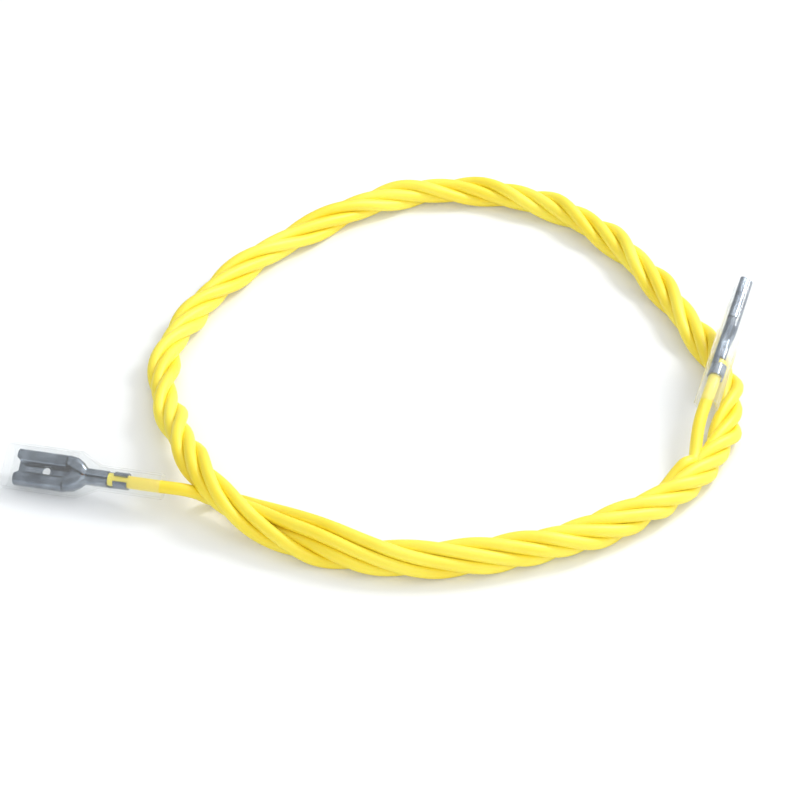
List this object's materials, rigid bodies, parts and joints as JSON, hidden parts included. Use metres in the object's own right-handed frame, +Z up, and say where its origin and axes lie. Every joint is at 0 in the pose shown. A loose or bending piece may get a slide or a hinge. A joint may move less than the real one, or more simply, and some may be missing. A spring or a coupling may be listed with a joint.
{
  "type": "jumper wire with female tab receptacles",
  "caption": "Insulated jumper wire twisted up into a ring-shaped hank, with a crimped female tab receptacle in a clear slide-on sleeve at each end.",
  "frame": {"origin": "on the surface that the hank lies on, under the middle of the box that the two connectors span", "axes": "+X from the left connector towards the right one, +Y from the front of the hank, with five strands, to its back, +Z up"},
  "size_m": [0.1264, 0.1067, 0.0183],
  "materials": {
    "insulation": "semi-gloss extruded PVC",
    "conductor": "bare stranded copper",
    "terminal": "tin-plated stamped strip",
    "sleeve": "clear flexible PVC"
  },
  "bodies": {
    "jumper": {"hank": "insulation", "left_lead": "insulation", "right_lead": "insulation", "left_conductor": "conductor", "right_conductor": "conductor", "left_terminal": "terminal", "right_terminal": "terminal"},
    "left_sleeve": {"left_sleeve": "sleeve"},
    "right_sleeve": {"right_sleeve": "sleeve"}
  },
  "joints": [
    {"name": "left_sleeve_slide", "type": "slide", "parent": "jumper", "child": "left_sleeve", "axis": [0.9626, -0.2651, 0.0558], "range_m": [0, 0.004]},
    {"name": "right_sleeve_slide", "type": "slide", "parent": "jumper", "child": "right_sleeve", "axis": [-0.3145, -0.9133, -0.2588], "range_m": [0, 0.003]}
  ]
}
